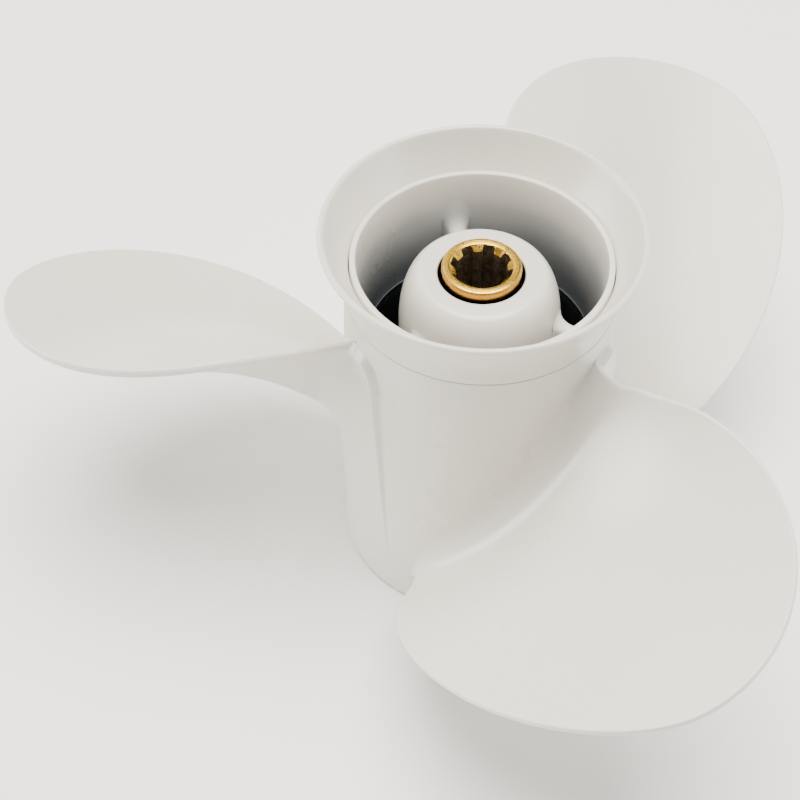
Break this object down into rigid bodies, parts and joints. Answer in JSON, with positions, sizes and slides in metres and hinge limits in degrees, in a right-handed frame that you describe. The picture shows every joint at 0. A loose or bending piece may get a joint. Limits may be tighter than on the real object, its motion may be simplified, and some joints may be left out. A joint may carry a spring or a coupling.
{
  "type": "boat propeller",
  "caption": "Right-hand outboard propeller with a through-hub exhaust barrel, a pressed-on flared diffuser ring and a rubber-cushioned splined brass hub.",
  "frame": {"origin": "on the shaft axis, in the plane of the barrel's fore face, which the propeller also stands on", "axes": "+Z points aft along the shaft, out of the diffuser ring; the three blades stand at 60, 180 and 300 degrees from +X towards +Y"},
  "size_m": [0.1941, 0.2113, 0.1028],
  "materials": {
    "painted_casting": "satin-gloss off-white enamel over die-cast aluminium",
    "brass": "machined, slightly dulled",
    "black_rubber": "matte moulded rubber"
  },
  "bodies": {
    "hub": {"barrel": "painted_casting", "inner_hub": "painted_casting", "rib_1": "painted_casting", "rib_2": "painted_casting", "rib_3": "painted_casting", "blade_1": "painted_casting", "blade_2": "painted_casting", "blade_3": "painted_casting", "diffuser_ring": "painted_casting", "rubber_cushion": "black_rubber"},
    "sleeve": {"splined_sleeve": "brass"}
  },
  "joints": [
    {"name": "rubber_windup", "type": "hinge", "parent": "hub", "child": "sleeve", "pos_m": [0, 0, 0.0484], "axis": [0, 0, 1], "range_deg": [-6, 6], "stiffness_Nm_per_rad": 350}
  ]
}
